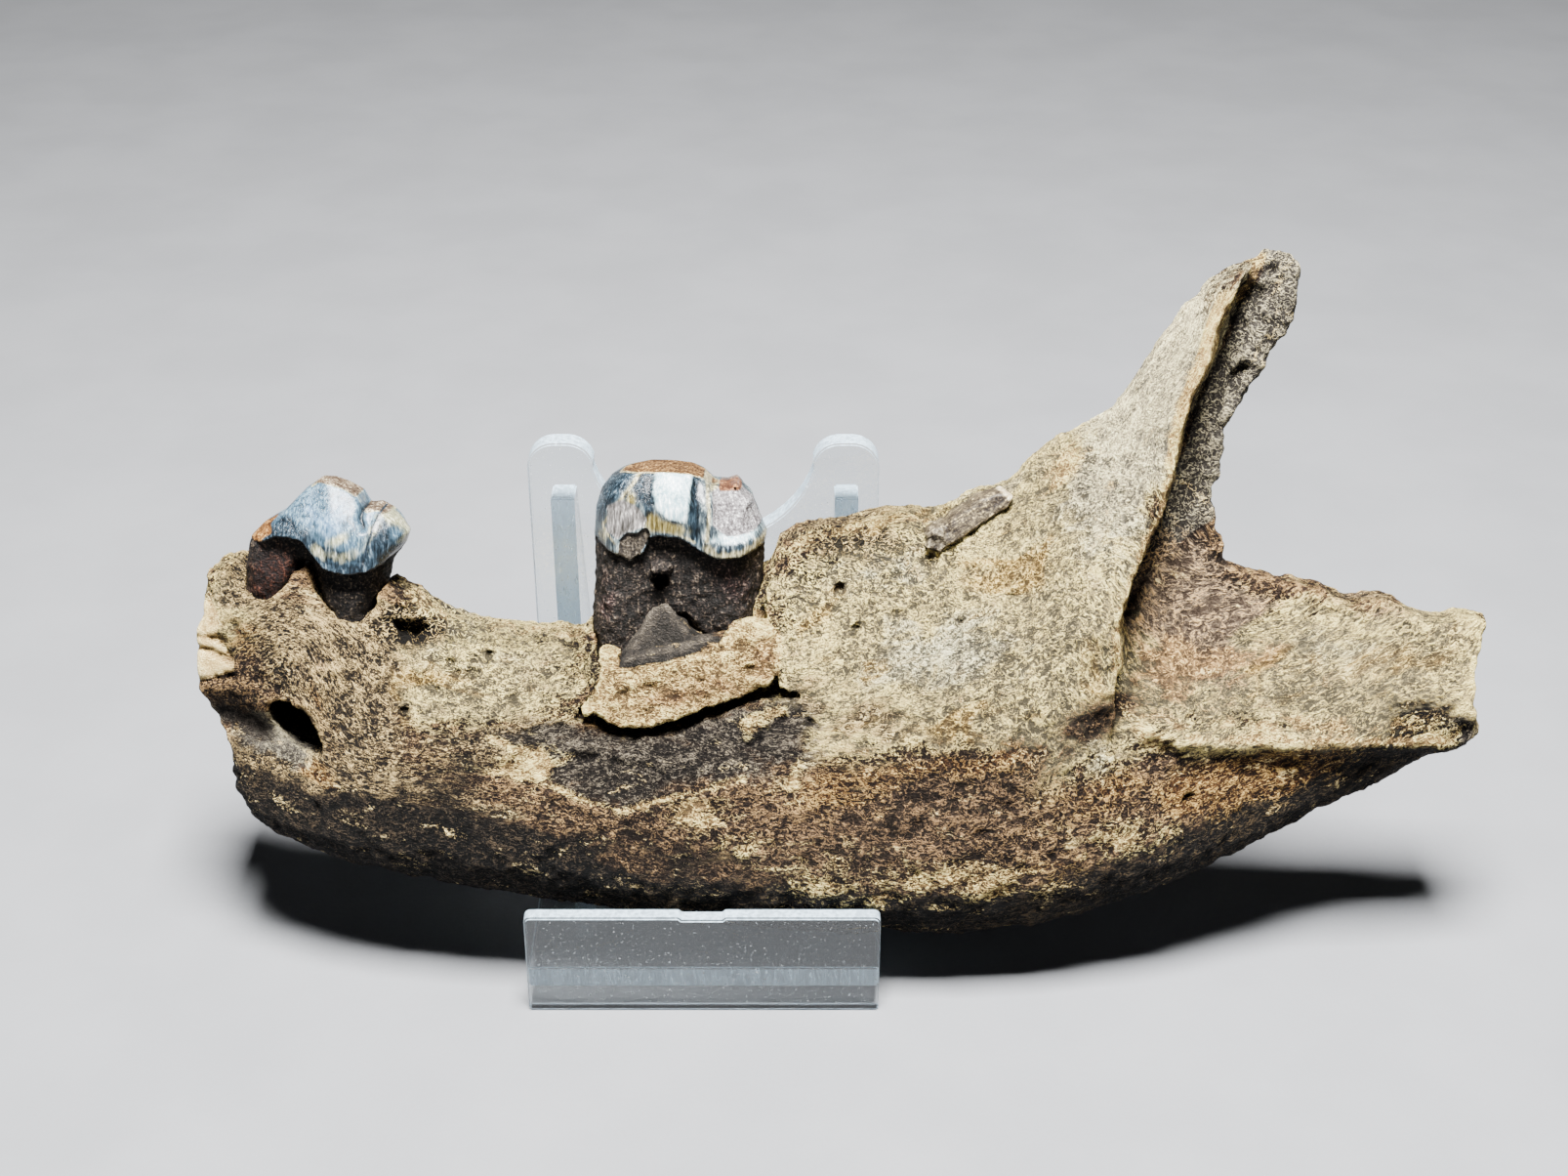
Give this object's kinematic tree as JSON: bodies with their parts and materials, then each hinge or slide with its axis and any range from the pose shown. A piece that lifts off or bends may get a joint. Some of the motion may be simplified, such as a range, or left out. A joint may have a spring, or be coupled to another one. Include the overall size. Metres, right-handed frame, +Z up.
{
  "type": "fossil cave hyena jaw",
  "caption": "Left lower jaw of a cave hyena, a fossil with worn premolars and a broken rear branch, leaning in a clear acrylic display stand.",
  "frame": {"origin": "on the floor, below the middle of the whole object's box", "axes": "+X along the jaw from its front end to its hinge end, +Y from the cheek side to the tongue side and the stand's legs, +Z up"},
  "size_m": [0.159, 0.0588, 0.0886],
  "materials": {
    "bone": "matt mineralised bone, brown with ochre patches",
    "tooth": "glossy blue-grey enamel over dull brown roots",
    "acrylic": "clear polished sheet with frosted sawn edges"
  },
  "bodies": {
    "root": {"jaw_bone": "bone", "premolar_p2": "tooth", "premolar_p4": "tooth", "molar_splinter": "tooth", "stand_lip": "acrylic", "stand_shelf": "acrylic", "stand_back": "acrylic", "stand_leg_left": "acrylic", "stand_leg_right": "acrylic"}
  },
  "joints": []
}
